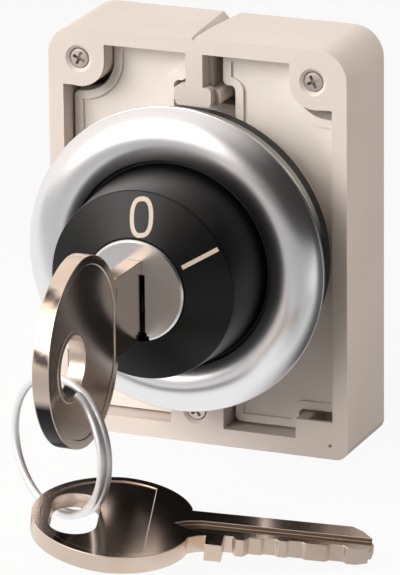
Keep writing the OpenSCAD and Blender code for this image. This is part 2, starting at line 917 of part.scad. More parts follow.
// The split ring: its wire runs round once, crosses to the layer behind and ends half a turn later
module split_ring() {
    first = 62 - 522;
    last = 62;
    steps = 66;
    cross_from = -300;
    cross_to = -250;
    angles = [for (i = [0:steps]) first + (last - first) * i / steps];
    color(silver) translate(split_at) rotate([0, 0, split_yaw])
        bent_wire(
            [for (a = angles) [a, (wire_d + 0.02) * max(0, min(1, (cross_to - a) / (cross_to - cross_from)))]],
            split_r, wire_d / 2, 10
        );
}

module key_2() {
    color(nickel) translate(key_2_at) rotate(key_2_turn) difference() {
        key_blank(bow_2_r, neck_2, field_2_end, groove_2_from);
        translate([slot_at, 0, -10]) linear_extrude(20) {
            square([2 * slot_half, 2 * (slot_reach - slot_half)], center = true);
            for (end = [-1, 1]) translate([0, end * (slot_reach - slot_half)]) circle(slot_half);
        }
    }
}

front_frame();
inner_panel();
rear_cover();
frame_screws();
front_ring();
sealing_gasket();
housing_seal();
lock_housing();
lock_barrel();
ring_nut();
lock_plug();
plug_clip();
cam_driver();
wafer(1);  // wafer_1
wafer(2);  // wafer_2
wafer(3);  // wafer_3
wafer(4);  // wafer_4
wafer(5);  // wafer_5
fixing_adapter();
block_open();
block_closed();
plunger_open();
plunger_closed();
bridge_open();
bridge_closed();
spring_open();
spring_closed();
terminals_open();
terminals_closed();
terminal_screws();
key_1();
split_ring();
key_2();
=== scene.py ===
"""Looks of a key-operated selector switch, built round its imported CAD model.

Lengths in this file are in millimetres until a mesh is made. The origin is where the
lock's axis meets the plane of the frame's front face; the front faces -Y and Z is up.
"""

import json
import logging
import math
from dataclasses import dataclass, field
from enum import Enum
from functools import cache
from typing import Iterable, Sequence

import bmesh
import bpy
from mathutils import Matrix, Vector


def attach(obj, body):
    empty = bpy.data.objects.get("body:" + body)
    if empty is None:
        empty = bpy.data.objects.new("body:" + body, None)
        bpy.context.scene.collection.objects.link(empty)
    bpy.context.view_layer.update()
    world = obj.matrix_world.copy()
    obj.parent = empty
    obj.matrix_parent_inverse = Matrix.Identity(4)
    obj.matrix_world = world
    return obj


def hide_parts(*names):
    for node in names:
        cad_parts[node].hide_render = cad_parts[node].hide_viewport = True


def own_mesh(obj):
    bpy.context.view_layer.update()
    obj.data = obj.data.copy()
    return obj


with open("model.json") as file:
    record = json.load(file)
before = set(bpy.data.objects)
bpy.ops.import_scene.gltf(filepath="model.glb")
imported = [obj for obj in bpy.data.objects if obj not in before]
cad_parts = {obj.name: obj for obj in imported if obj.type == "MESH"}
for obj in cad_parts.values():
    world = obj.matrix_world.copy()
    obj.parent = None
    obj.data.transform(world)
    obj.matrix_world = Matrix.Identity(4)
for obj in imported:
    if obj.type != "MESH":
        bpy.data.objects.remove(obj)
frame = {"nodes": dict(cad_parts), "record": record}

MM = 0.001
LOG = logging.getLogger("key_switch")
Point = tuple[float, ...]
Pair = tuple[float, float]
Colour = Point | bpy.types.NodeSocket
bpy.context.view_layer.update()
NODE_SLOTS = {part["node"]: part["material_slot"] for part in frame["record"]["subparts"]}


class Body(Enum):
    """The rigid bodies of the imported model."""

    SWITCH = "switch_body"
    ROTOR = "lock_rotor"
    KEY = "switch_key"
    RING = "key_ring"
    SPARE = "spare_key"
    OPEN_PLUNGER = "open_plunger"
    CLOSED_PLUNGER = "closed_plunger"


# Shader maths


class Term:
    """A number inside a shader: an expression on terms adds the Math nodes it needs."""

    def __init__(self, shader: "Shader", socket: bpy.types.NodeSocket) -> None:
        """Wraps a socket.

        Args:
            shader: The shader whose node tree the socket is in.
            socket: The output that holds the number.
        """
        self.shader = shader
        self.socket = socket

    def _math(self, operation: str, *values: "Term | float") -> "Term":
        """Adds one Math node and returns its result."""
        return self.shader.term("ShaderNodeMath", dict(enumerate(values)), {"operation": operation})

    def __add__(self, other: "Term | float") -> "Term":
        """Sum."""
        return self._math("ADD", self, other)

    def __mul__(self, other: "Term | float") -> "Term":
        """Product."""
        return self._math("MULTIPLY", self, other)

    def __sub__(self, other: "Term | float") -> "Term":
        """Difference."""
        return self._math("SUBTRACT", self, other)

    def __rsub__(self, other: float) -> "Term":
        """Difference from a plain number."""
        return self._math("SUBTRACT", other, self)

    def __pow__(self, other: float) -> "Term":
        """Power."""
        return self._math("POWER", self, other)

    def __abs__(self) -> "Term":
        """Size without sign."""
        return self._math("ABSOLUTE", self)

    __radd__ = __add__
    __rmul__ = __mul__

    def least(self, other: "Term | float") -> "Term":
        """The smaller of two numbers."""
        return self._math("MINIMUM", self, other)

    def most(self, other: "Term | float") -> "Term":
        """The larger of two numbers."""
        return self._math("MAXIMUM", self, other)

    def rise(self, low: float, high: float) -> "Term":
        """A smooth step from 0 at low to 1 at high."""
        inputs = {0: self, 1: low, 2: high, 3: 0.0, 4: 1.0}
        return self.shader.term("ShaderNodeMapRange", inputs, {"interpolation_type": "SMOOTHSTEP"})

    def band(self, edges: Point) -> "Term":
        """Rises to 1 between the first two of four edges, and falls between the last two."""
        return self.rise(*edges[:2]) * (1 - self.rise(*edges[2:]))


class Nodes:
    """A node tree under construction, with one method that adds any node."""

    def __init__(self, tree: bpy.types.NodeTree) -> None:
        """Keeps the tree."""
        self.tree = tree

    def add(
        self, kind: str, inputs: dict | None = None, settings: dict | None = None
    ) -> bpy.types.Node:
        """Adds a node.

        Args:
            kind: The node's type.
            inputs: Its inputs by name or index, each a value, a socket or a term.
            settings: Its properties, which are set before its inputs.

        Returns:
            The new node.
        """
        node = self.tree.nodes.new(kind)
        for name, value in (settings or {}).items():
            setattr(node, name, value)
        for key, value in (inputs or {}).items():
            socket = node.inputs[key]
            if isinstance(value, Term):
                value = value.socket
            if isinstance(value, bpy.types.NodeSocket):
                self.tree.links.new(value, socket)
            else:
                socket.default_value = value
        return node


class Shader(Nodes):
    """The node tree of a material or of the world."""

    def __init__(self, tree: bpy.types.NodeTree) -> None:
        """Empties the tree and keeps it."""
        super().__init__(tree)
        tree.nodes.clear()

    def term(self, kind: str, inputs: dict, settings: dict | None = None) -> Term:
        """Adds a node and returns its first output as a term."""
        return Term(self, self.add(kind, inputs, settings).outputs[0])

    def vector(self, operation: str, inputs: dict, out: str = "Vector") -> bpy.types.NodeSocket:
        """Adds a Vector Math node and returns one of its outputs."""
        return self.add("ShaderNodeVectorMath", inputs, {"operation": operation}).outputs[out]

    def place(self) -> bpy.types.NodeSocket:
        """The Object coordinates in millimetres."""
        source = self.add("ShaderNodeTexCoord").outputs["Object"]
        return self.vector("SCALE", {0: source, "Scale": 1 / MM})

    def split(self, place: bpy.types.NodeSocket) -> list[Term]:
        """The X, Y and Z of a place or a direction."""
        parts = self.add("ShaderNodeSeparateXYZ", {0: place})
        return [Term(self, part) for part in parts.outputs]

    def noise(self, place: bpy.types.NodeSocket, scale: float, detail: float = 3.0) -> Term:
        """Noise from 0 to 1; scale is in features per millimetre."""
        inputs = {"Vector": place, "Scale": scale, "Detail": detail, "Roughness": 0.55}
        return self.term("ShaderNodeTexNoise", inputs)

    def blend(self, factor: Term, first: Colour, second: Colour) -> bpy.types.NodeSocket:
        """Mixes two colours.

        Args:
            factor: 0 for the first colour and 1 for the second.
            first: A colour, as a triple or a socket.
            second: Another.

        Returns:
            The mixed colour.
        """
        colours = [(*c, 1.0) if isinstance(c, tuple) else c for c in (first, second)]
        inputs = {0: factor, 6: colours[0], 7: colours[1]}
        return self.add("ShaderNodeMix", inputs, {"data_type": "RGBA"}).outputs[2]

    def bump(self, height: Term, depth: float, strength: float) -> bpy.types.NodeSocket:
        """A Bump node; depth is in millimetres."""
        inputs = {"Height": height, "Distance": depth * MM, "Strength": strength}
        return self.add("ShaderNodeBump", inputs).outputs[0]

    def surface(self, **inputs: object) -> None:
        """Adds the Principled shader with its output.

        Args:
            inputs: The shader's inputs, with an underscore for each space in a name.
        """
        named = {key.replace("_", " "): value for key, value in inputs.items()}
        shader = self.add("ShaderNodeBsdfPrincipled", named)
        self.add("ShaderNodeOutputMaterial", {"Surface": shader.outputs[0]})


def new_shader(name: str) -> tuple[bpy.types.Material, Shader]:
    """Makes a material with an empty node tree.

    Args:
        name: The material's name.

    Returns:
        The material and its shader.
    """
    material = bpy.data.materials.new(name)
    material.use_nodes = True
    return material, Shader(material.node_tree)


# Finishes


@dataclass(frozen=True)
class Plastic:
    """Moulded plastic with a fine spark-eroded grain and slight flow marks.

    Attributes:
        name: The material's name.
        colour: Its base colour.
        roughness: Mean roughness.
        grain: Grains per millimetre.
        depth: Depth of the grain in millimetres.
        mottle: Share by which the colour is darker between the flow marks.
        speck: Centre of a small dark speck, or None.
        shine: Strength of the surface reflection.
        dark_below: Heights between which the colour fades to black downwards, a painted shade, or
            None.
        flow: Flow marks per millimetre.
        patches: Values of the noise between which a flow mark starts.
        grain_haze: How much the roughness varies with the grain.
        flow_haze: How much it varies with the flow marks.
        relief: Strength of the grain's bump.
        speck_edge: Distances from the speck's centre between which it ends.
        speck_colour: The speck's colour.
        dark_colour: The colour below dark_below, that of the painted shade.
    """

    name: str
    colour: Point
    roughness: float = 0.5
    grain: float = 6.0
    depth: float = 0.003
    mottle: float = 0.044
    speck: Point | None = None
    shine: float = 0.5
    dark_below: Pair | None = None
    flow: float = 0.09
    patches: Pair = (0.3, 0.7)
    grain_haze: float = 0.12
    flow_haze: float = 0.06
    relief: float = 0.6
    speck_edge: Pair = (0.12, 0.3)
    speck_colour: Point = (0.1, 0.08, 0.07)
    dark_colour: Point = (0.004, 0.004, 0.004)

    def build(self) -> bpy.types.Material:
        """Makes the material.

        Returns:
            The new material.
        """
        material, s = new_shader(self.name)
        place = s.place()
        flow, grain = s.noise(place, self.flow, 2.0), s.noise(place, self.grain, 2.0)
        deep = tuple(c * (1 - self.mottle) for c in self.colour)
        colour = s.blend(flow.rise(*self.patches), deep, self.colour)
        if self.speck:
            away = Term(s, s.vector("DISTANCE", {0: place, 1: self.speck}, "Value"))
            colour = s.blend(1 - away.rise(*self.speck_edge), colour, self.speck_colour)
        # Painted shade: the colour fades to black downwards.
        if self.dark_below:
            height = s.split(place)[2]
            colour = s.blend(height.rise(*self.dark_below), self.dark_colour, colour)
        haze = (grain - 0.5) * self.grain_haze + (flow - 0.5) * self.flow_haze
        s.surface(
            Base_Color=colour,
            Roughness=self.roughness + haze,
            Specular_IOR_Level=self.shine,
            Normal=s.bump(grain, self.depth, self.relief),
        )
        return material


@dataclass(frozen=True)
class Metal:
    """Plated metal with faint polishing marks, haze and worn warm patches.

    Attributes:
        name: The material's name.
        colour: Its base colour.
        warm: The colour where the plating is worn or tinted.
        roughness: Mean roughness.
        streaks: Stretch of the polishing marks along X, Y and Z.
        haze: How much the roughness varies.
        depth: Depth of the marks in millimetres.
        wear: Share of the warm colour.
        marks: Polishing marks per millimetre, before their stretch.
        clouds: Worn patches per millimetre.
        patches: Values of the noise between which a worn patch starts.
        relief: Strength of the marks' bump.
    """

    name: str
    colour: Point
    warm: Point
    roughness: float
    streaks: Point = (1.0, 1.0, 1.0)
    haze: float = 0.06
    depth: float = 0.0005
    wear: float = 0.3
    marks: float = 3.0
    clouds: float = 0.22
    patches: Pair = (0.35, 0.75)
    relief: float = 0.5

    def build(self) -> bpy.types.Material:
        """Makes the material.

        Returns:
            The new material.
        """
        material, s = new_shader(self.name)
        place = s.place()
        stretched = s.vector("MULTIPLY", {0: place, 1: self.streaks})
        marks, cloud = s.noise(stretched, self.marks, 4.0), s.noise(place, self.clouds)
        colour = s.blend(cloud.rise(*self.patches) * self.wear, self.colour, self.warm)
        s.surface(
            Base_Color=self.darkened(s, place, colour),
            Metallic=1.0,
            Roughness=self.roughness + (cloud - 0.5) * self.haze + (marks - 0.5) * self.haze,
            Normal=s.bump(marks, self.depth, self.relief),
        )
        return material

    def darkened(
        self, s: Shader, place: bpy.types.NodeSocket, colour: bpy.types.NodeSocket
    ) -> bpy.types.NodeSocket:
        """Colour after darkening; plain metal has none."""
        return colour


@dataclass(frozen=True)
class KeyMetal(Metal):
    """Keys' narrow edges in a lighter nickel, a painted highlight, with dark patches and a painted
    shade on the first key.

    Attributes:
        spots: Dark patches across the edge as (y, z, reach) in millimetres.
        fade: Shares of a patch's reach between which it ends.
        lean: Slopes of a patch across the edge, along Y and Z.
        ragged: How far a patch's outline wanders.
        frays: Turns of that outline per millimetre.
        darkness: How much a patch covers.
        foot: Heights between which the bow's lower edge turns dark.
        foot_front: Distances to the front between which that starts.
        edge: Distances from the key's middle plane between which the narrow edge ends.
        above: Heights between which the first key's dark patches start, over the second key.
        dark_patch_colour: The colour of the dark patches and of the dark foot.
        neck: Places along the first key between which its edge turns darker, a painted shade.
        neck_shade: Brightness of that painted shade.
    """

    spots: tuple[Point, ...] = ((-45.5, 6.2, 1.3), (-49.95, 0.2, 1.2))
    fade: Pair = (0.2, 1.2)
    lean: Pair = (0.3, 0.35)
    ragged: float = 0.7
    frays: float = 0.9
    darkness: float = 0.9
    foot: Pair = (-6.6, -5.0)
    foot_front: Pair = (36.0, 40.0)
    edge: Pair = (0.9, 1.06)
    above: Pair = (-17.0, -16.0)
    dark_patch_colour: Point = (0.02, 0.019, 0.024)
    neck: Pair = (-29.5, -27.5)
    neck_shade: float = 0.42

    def darkened(
        self, s: Shader, place: bpy.types.NodeSocket, colour: bpy.types.NodeSocket
    ) -> bpy.types.NodeSocket:
        """Darkens the patches and the foot of the first key's edge, and paints shade on its neck.

        Args:
            s: The shader.
            place: The Object coordinates in millimetres.
            colour: The metal's colour.

        Returns:
            The darkened colour.
        """
        x, y, z = s.split(place)
        dark = (1 - z.rise(*self.foot)) * (0 - y).rise(*self.foot_front)
        ragged = s.noise(place, self.frays, 4.0) * (2 * self.ragged) - self.ragged
        for middle, height, reach in self.spots:
            along, up = y - middle + x * self.lean[0], z - height + x * self.lean[1]
            away = (along * along + up * up) ** 0.5 + ragged
            clear = away.rise(*(reach * share for share in self.fade))
            dark = dark.most(self.darkness - clear * self.darkness)
        mask = (1 - abs(x).rise(*self.edge)) * z.rise(*self.above)
        # Painted shade: the first key's edge turns darker towards its neck.
        dimmed = tuple(c * self.neck_shade for c in self.warm)
        return s.blend(dark * mask, s.blend(y.rise(*self.neck), colour, dimmed), self.dark_patch_colour)


@dataclass(frozen=True)
class TurnedMetal:
    """Satin chrome turned on a lathe round the Y axis, with very fine rings.

    Attributes:
        name: The material's name.
        colour: Its base colour.
        roughness: Mean roughness.
        pitch: Rings per millimetre of radius.
        depth: Depth of the rings in millimetres.
        clouds: Dull patches per millimetre.
        patches: Values of the noise between which a dull patch starts.
        dimmed: Brightness of the colour there.
        dull_share: How much of that colour shows.
        ring_haze: How much the roughness varies with the rings.
        cloud_haze: How much it varies with the patches.
        relief: Strength of the rings' bump.
    """

    name: str
    colour: Point
    roughness: float
    pitch: float
    depth: float
    clouds: float = 0.15
    patches: Pair = (0.3, 0.8)
    dimmed: float = 0.93
    dull_share: float = 0.25
    ring_haze: float = 0.02
    cloud_haze: float = 0.04
    relief: float = 0.5

    def build(self) -> bpy.types.Material:
        """Makes the material.

        Returns:
            The new material.
        """
        material, s = new_shader(self.name)
        place = s.place()
        x, y, z = s.split(place)
        radius = (x * x + z * z) ** 0.5
        row = s.add("ShaderNodeCombineXYZ", {0: radius * self.pitch, 1: y * self.pitch})
        rings, cloud = s.noise(row.outputs[0], 1.0, 2.0), s.noise(place, self.clouds, 2.0)
        dimmed = tuple(c * self.dimmed for c in self.colour)
        haze = (rings - 0.5) * self.ring_haze + (cloud - 0.5) * self.cloud_haze
        s.surface(
            Base_Color=s.blend(cloud.rise(*self.patches) * self.dull_share, self.colour, dimmed),
            Metallic=1.0,
            Roughness=self.roughness + haze,
            Normal=s.bump(rings, self.depth, self.relief),
        )
        return material


Finish = Plastic | Metal | TurnedMetal
FINISHES: dict[str, Finish] = {
    finish.name: finish
    for finish in (
        Plastic("frame_plastic", (0.735, 0.655, 0.6), 0.42, speck=(17.9, 0.0, -24.95)),
        Plastic("panel_plastic", (0.87, 0.81, 0.75), 0.42),
        Metal(
            "screw_steel", (0.66, 0.6, 0.56), (0.5, 0.42, 0.37), 0.48, (1, 1, 6), haze=0.1,
            depth=0.001, wear=0.5,
        ),
        TurnedMetal("ring_chrome", (0.86, 0.85, 0.865), 0.26, pitch=2.0, depth=0.00004),
        # The gasket fades to black below, a painted shade under the ring's lip.
        Plastic(
            "gasket", (0.3, 0.31, 0.28), 0.6, grain=7.0, depth=0.004, mottle=0.066, shine=0.2,
            dark_below=(3.0, 11.0),
        ),
        Plastic("seal_rubber", (0.012, 0.012, 0.013), 0.6, grain=8.0),
        Plastic(
            "housing_black", (0.0022, 0.0021, 0.0023), 0.36, grain=7.5, depth=0.008, mottle=0.11,
            shine=0.33,
        ),
        Metal("zinc", (0.62, 0.62, 0.64), (0.5, 0.5, 0.5), 0.35, haze=0.12, depth=0.002, wear=0.4),
        Metal(
            "plug_silver", (0.80, 0.79, 0.78), (0.72, 0.69, 0.66), 0.29, haze=0.03, depth=0.0001
        ),
        Plastic("cam_white", (0.78, 0.77, 0.72), 0.4, grain=5.0),
        Metal(
            "brass", (0.76, 0.58, 0.28), (0.62, 0.42, 0.2), 0.28, (1, 6, 1), haze=0.1,
            depth=0.001, wear=0.5,
        ),
        Plastic("block_grey", (0.06, 0.063, 0.068), 0.45, grain=5.0, depth=0.005, mottle=0.088),
        Plastic("plunger_red", (0.5, 0.05, 0.035), 0.4, grain=5.0, mottle=0.066),
        Metal("spring_steel", (0.6, 0.6, 0.6), (0.5, 0.47, 0.44), 0.3, haze=0.08),
        # The keys' narrow faces: a lighter copy of their nickel, a painted highlight.
        KeyMetal(
            "key_edge", (0.8, 0.67, 0.57), (0.74, 0.55, 0.42), 0.3, (1, 4, 4), haze=0.1,
            depth=0.001, wear=0.6,
        ),
        Metal(
            "key_nickel", (0.41, 0.335, 0.295), (0.44, 0.31, 0.23), 0.15, (0.6, 5, 5), haze=0.07,
            depth=0.0007, wear=0.55,
        ),
        Metal("wire_steel", (0.93, 0.93, 0.94), (0.88, 0.87, 0.86), 0.52, depth=0.0004),
        Plastic("dial_paint", (0.62, 0.51, 0.42), depth=0.002),
    )
}


@cache
def paint(slot: str) -> bpy.types.Material:
    """The material of a finish, built at its first use."""
    return FINISHES[slot].build()


# Mesh helpers

# An edge is bevelled from this angle, in this many steps
SHARP_DEGREES = 38.0
BEVEL_STEPS = 3
# Points closer than WELD are merged, and edges shorter than SLIVER are taken out
WELD = 0.012
SLIVER = 0.005
# Faces that meet at less than this angle are joined
FLAT_DEGREES = 0.4
# A face this close in direction to the broadest one is one of its piece's flat faces
BROAD = 0.97
# The most of a side that a rounded corner takes
CORNER_SHARE = 0.48
# Steps round the axis
LATHE_STEPS = 192
FINE_LATHE_STEPS = 256


def link(name: str, mesh: bpy.types.Mesh) -> bpy.types.Object:
    """Puts a mesh into the scene.

    Args:
        name: The object's name.
        mesh: Its mesh.

    Returns:
        The new object, at the origin.
    """
    thing = bpy.data.objects.new(name, mesh)
    bpy.context.scene.collection.objects.link(thing)
    return thing


def from_bmesh(name: str, bm: bmesh.types.BMesh, scale: float = MM) -> bpy.types.Object:
    """Turns a bmesh into an object.

    Args:
        name: The object's name.
        bm: The geometry, which is freed.
        scale: What one unit is in metres.

    Returns:
        The new object, smooth-shaded.
    """
    bmesh.ops.scale(bm, vec=(scale,) * 3, verts=bm.verts)
    for face in bm.faces:
        face.smooth = True
    mesh = bpy.data.meshes.new(name)
    bm.to_mesh(mesh)
    bm.free()
    return link(name, mesh)


def applied(thing: bpy.types.Object) -> bpy.types.Object:
    """Applies every modifier of an object.

    Args:
        thing: The object, which is replaced.

    Returns:
        A plain mesh object with the same name.
    """
    bpy.context.view_layer.update()
    graph = bpy.context.evaluated_depsgraph_get()
    mesh = bpy.data.meshes.new_from_object(
        thing.evaluated_get(graph), preserve_all_data_layers=True, depsgraph=graph
    )
    name = thing.name
    bpy.data.objects.remove(thing)
    mesh.name = name
    return link(name, mesh)


def crease(thing: bpy.types.Object, degrees: float = 32.0) -> None:
    """Marks sharp edges, so that the smooth shading breaks there.

    Args:
        thing: The piece.
        degrees: The angle from which an edge is sharp.
    """
    bm = bmesh.new()
    bm.from_mesh(thing.data)
    limit = math.radians(degrees)
    for edge in bm.edges:
        edge.smooth = len(edge.link_faces) == 2 and edge.calc_face_angle(0.0) < limit
    for face in bm.faces:
        face.smooth = True
    bm.to_mesh(thing.data)
    bm.free()


def dress(
    thing: bpy.types.Object,
    slot: str,
    body: Body,
    nodes: Sequence[str] = (),
    finish: str | None = None,
    edges: str | None = None,
) -> None:
    """Gives a piece its finish and its body, and hides the CAD nodes that it stands for.

    Args:
        thing: The finished piece.
        slot: The record's slot that it takes its finish from.
        body: The body it rides on.
        nodes: The CAD nodes it replaces.
        finish: A finish other than the slot's own.
        edges: The finish of all faces but its broad flat ones, or None for the same finish.
    """
    thing.data.materials.clear()
    thing.data.materials.append(paint(finish or slot))
    if edges:
        thing.data.materials.append(paint(edges))
        broad = max(thing.data.polygons, key=lambda face: face.area).normal.copy()
        for face in thing.data.polygons:
            face.material_index = int(abs(face.normal.dot(broad)) < BROAD)
    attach(thing, body.value)
    if nodes:
        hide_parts(*nodes)
    LOG.info("%s: %d faces on %s", thing.name, len(thing.data.polygons), body.value)


def block(name: str, low: Point, high: Point) -> bpy.types.Object:
    """A plain block, which other pieces are joined with.

    Args:
        name: The block's name.
        low: Its lowest corner in millimetres.
        high: Its highest corner.

    Returns:
        The new block.
    """
    bm = bmesh.new()
    made = bmesh.ops.create_cube(bm, size=1.0)["verts"]
    size, middle = Vector(high) - Vector(low), (Vector(high) + Vector(low)) / 2
    bmesh.ops.scale(bm, vec=size, verts=made)
    bmesh.ops.translate(bm, vec=middle, verts=made)
    return from_bmesh(name, bm)


def merged(mesh: bpy.types.Mesh, name: str) -> bpy.types.Object:
    """Copies a mesh with its doubled points merged and its flat faces joined.

    Args:
        mesh: The mesh, in metres, which stays as it is.
        name: The copy's name.

    Returns:
        The copy.
    """
    bm = bmesh.new()
    bm.from_mesh(mesh)
    flat = math.radians(FLAT_DEGREES)
    bmesh.ops.remove_doubles(bm, verts=bm.verts, dist=WELD * MM)
    bmesh.ops.dissolve_degenerate(bm, dist=SLIVER * MM, edges=bm.edges)
    bmesh.ops.dissolve_limit(bm, angle_limit=flat, verts=bm.verts, edges=bm.edges)
    return from_bmesh(name, bm, 1.0)


@dataclass(frozen=True)
class Outline:
    """The outer edges of a frame's front, at y = 0, which get a larger rounding.

    Attributes:
        width: Width of the rounding in millimetres.
        side: Distance from the middle beyond which an edge is a side edge.
        top: Height above which an edge is a top edge.
        bottom: Depth below which an edge is a bottom edge.
        flat: How far from y = 0 the front's points may lie.
        outward: How far one of an edge's faces has to point away from the middle.
    """

    width: float = 0.7
    side: float = 19.0
    top: float = 25.6
    bottom: float = 25.4
    flat: float = 0.02
    outward: float = 0.6

    def holds(self, edge: bmesh.types.BMEdge) -> bool:
        """Tells whether an edge is part of the outline.

        Args:
            edge: An edge of the frame, in metres.

        Returns:
            True if it is.
        """
        middle = (edge.verts[0].co + edge.verts[1].co) / 2
        away = Vector((middle.x, 0, middle.z)).normalized()
        reach = max(abs(middle.x) / self.side, middle.z / self.top, -middle.z / self.bottom) / MM
        front = all(abs(vert.co.y) < self.flat * MM for vert in edge.verts)
        outer = any(face.normal.dot(away) > self.outward for face in edge.link_faces)
        return front and outer and reach > 1.0

    def weigh(self, thing: bpy.types.Object, share: float) -> None:
        """Weighs a frame's sharp edges for its bevel: 1 on the outline, less elsewhere.

        Args:
            thing: The frame.
            share: The other sharp edges' weight.
        """
        bm = bmesh.new()
        bm.from_mesh(thing.data)
        weight = bm.edges.layers.float.new("bevel_weight_edge")
        sharp = math.radians(SHARP_DEGREES)
        for edge in bm.edges:
            if len(edge.link_faces) == 2 and edge.calc_face_angle(0.0) >= sharp:
                edge[weight] = 1.0 if self.holds(edge) else share
        bm.to_mesh(thing.data)
        bm.free()


def softened(
    node: str,
    name: str,
    width: float,
    joined: tuple[Point, Point] | None = None,
    outline: Outline | None = None,
) -> bpy.types.Object:
    """Copies a CAD node and rounds its edges.

    Args:
        node: The CAD node.
        name: The new piece's name.
        width: Width of the rounding in millimetres.
        joined: Corners of a block that is joined to the copy first, or None.
        outline: The edges that get a larger rounding, or None.

    Returns:
        The new piece, in place.
    """
    thing = merged(frame["nodes"][node].data, name)
    if joined:
        extra = block("joined_block", *joined)
        union = thing.modifiers.new("joined", "BOOLEAN")
        union.operation, union.object, union.solver = "UNION", extra, "EXACT"
        solid = applied(thing)
        solid.name = "joined_whole"
        thing = merged(solid.data, name)
        for spent in (extra, solid):
            bpy.data.objects.remove(spent)
    if outline:
        outline.weigh(thing, width / outline.width)
    bevel = thing.modifiers.new("edges", "BEVEL")
    bevel.width = (outline.width if outline else width) * MM
    bevel.segments = BEVEL_STEPS
    bevel.limit_method = "WEIGHT" if outline else "ANGLE"
    bevel.angle_limit = math.radians(SHARP_DEGREES)
    bevel.use_clamp_overlap = True
    flat = thing.modifiers.new("flat_faces", "WEIGHTED_NORMAL")
    flat.mode, flat.weight, flat.thresh, flat.keep_sharp = "FACE_AREA", 100, 0.02, True
    return applied(thing)


def rounded(corners: Sequence[tuple[float, float, float]], steps: int = 5) -> list[Pair]:
    """Rounds the corners of a closed outline.

    Args:
        corners: Points as (u, v, radius of the corner).
        steps: Points on each rounded corner.

    Returns:
        The outline's points.
    """
    outline: list[Pair] = []
    for i, (u, v, radius) in enumerate(corners):
        here = Vector((u, v))
        before = Vector(corners[i - 1][:2]) - here
        after = Vector(corners[(i + 1) % len(corners)][:2]) - here
        if radius <= 0:
            outline.append((u, v))
            continue
        half = before.angle(after) / 2
        longest = min(before.length, after.length) * CORNER_SHARE
        reach = min(radius / math.tan(half), longest)
        start, end = here + before.normalized() * reach, here + after.normalized() * reach
        for k in range(steps + 1):
            t = k / steps
            p = start.lerp(here, t).lerp(here.lerp(end, t), t)
            outline.append((p.x, p.y))
    return outline


def skinned(
    name: str, bm: bmesh.types.BMesh, rows: list[list[bmesh.types.BMVert]], closed: bool = True
) -> bpy.types.Object:
    """Joins rows of points into a skin.

    Args:
        name: The piece's name.
        bm: The geometry that holds the points, which is freed.
        rows: The rows, each a closed loop of the same number of points.
        closed: Whether the last row joins the first; otherwise both get a face.

    Returns:
        The new piece.
    """
    count, points = len(rows), len(rows[0])
    for i in range(count if closed else count - 1):
        here, there = rows[i], rows[(i + 1) % count]
        for k in range(points):
            j = (k + 1) % points
            bm.faces.new((here[k], here[j], there[j], there[k]))
    if not closed:
        bm.faces.new(rows[0])
        bm.faces.new(rows[-1][::-1])
    bmesh.ops.recalc_face_normals(bm, faces=bm.faces)
    piece = from_bmesh(name, bm)
    crease(piece)
    return piece


def lathe(name: str, profile: Sequence[Pair], around: int = LATHE_STEPS) -> bpy.types.Object:
    """Turns a closed outline of (radius, y) round the lock's axis.

    Args:
        name: The piece's name.
        profile: The outline, in millimetres.
        around: Steps round the axis.

    Returns:
        The new piece.
    """
    bm = bmesh.new()
    rows = []
    for i in range(around):
        a = 2 * math.pi * i / around
        rows.append([bm.verts.new((r * math.cos(a), y, r * math.sin(a))) for r, y in profile])
    return skinned(name, bm, rows)


# Geometry Nodes


class NodeKit(Nodes):
    """A geometry node group with named inputs."""

    def __init__(self, name: str, numbers: dict[str, float]) -> None:
        """Makes the group and its sockets.

        Args:
            name: The group's name.
            numbers: Named number inputs with their defaults.
        """
        super().__init__(bpy.data.node_groups.new(name, "GeometryNodeTree"))
        face = self.tree.interface
        face.new_socket("Geometry", in_out="INPUT", socket_type="NodeSocketGeometry")
        for label, value in numbers.items():
            kind = "NodeSocketInt" if isinstance(value, int) else "NodeSocketFloat"
            face.new_socket(label, in_out="INPUT", socket_type=kind).default_value = value
        face.new_socket("Finish", in_out="INPUT", socket_type="NodeSocketMaterial")
        face.new_socket("Geometry", in_out="OUTPUT", socket_type="NodeSocketGeometry")
        self.inputs = self.add("NodeGroupInput").outputs

    def close(self, geometry: bpy.types.NodeSocket) -> None:
        """Ends the tree in Realize Instances and Set Material.

        Args:
            geometry: The tree's result so far.
        """
        real = self.add("GeometryNodeRealizeInstances", {"Geometry": geometry})
        smooth = self.add("GeometryNodeSetShadeSmooth", {"Geometry": real.outputs[0]})
        inputs = {"Geometry": smooth.outputs[0], "Material": self.inputs["Finish"]}
        finish = self.add("GeometryNodeSetMaterial", inputs)
        self.add("NodeGroupOutput", {0: finish.outputs[0]})

    def run(self, carrier: bpy.types.Object, values: dict[str, object]) -> bpy.types.Object:
        """Runs the tree on an object.

        Args:
            carrier: The object that gives the geometry.
            values: The inputs by name.

        Returns:
            The result as a plain mesh object.
        """
        modifier = carrier.modifiers.new(self.tree.name, "NODES")
        modifier.node_group = self.tree
        for item in self.tree.interface.items_tree:
            if getattr(item, "in_out", "") == "INPUT" and item.name in values:
                modifier[item.identifier] = values[item.name]
        return applied(carrier)


def wire_kit() -> NodeKit:
    """A tree that sweeps a round wire along a chain of edges.

    Returns:
        The tree, whose inputs are the wire's radius in metres and its facets.
    """
    kit = NodeKit("wire_along_path", {"Wire Radius": 0.001, "Facets": 20})
    path = kit.add("GeometryNodeMeshToCurve", {"Mesh": kit.inputs["Geometry"]})
    ring = kit.add(
        "GeometryNodeCurvePrimitiveCircle",
        {"Resolution": kit.inputs["Facets"], "Radius": kit.inputs["Wire Radius"]},
    )
    tube = kit.add(
        "GeometryNodeCurveToMesh",
        {"Curve": path.outputs[0], "Profile Curve": ring.outputs[0], "Fill Caps": True},
    )
    kit.close(tube.outputs[0])
    return kit


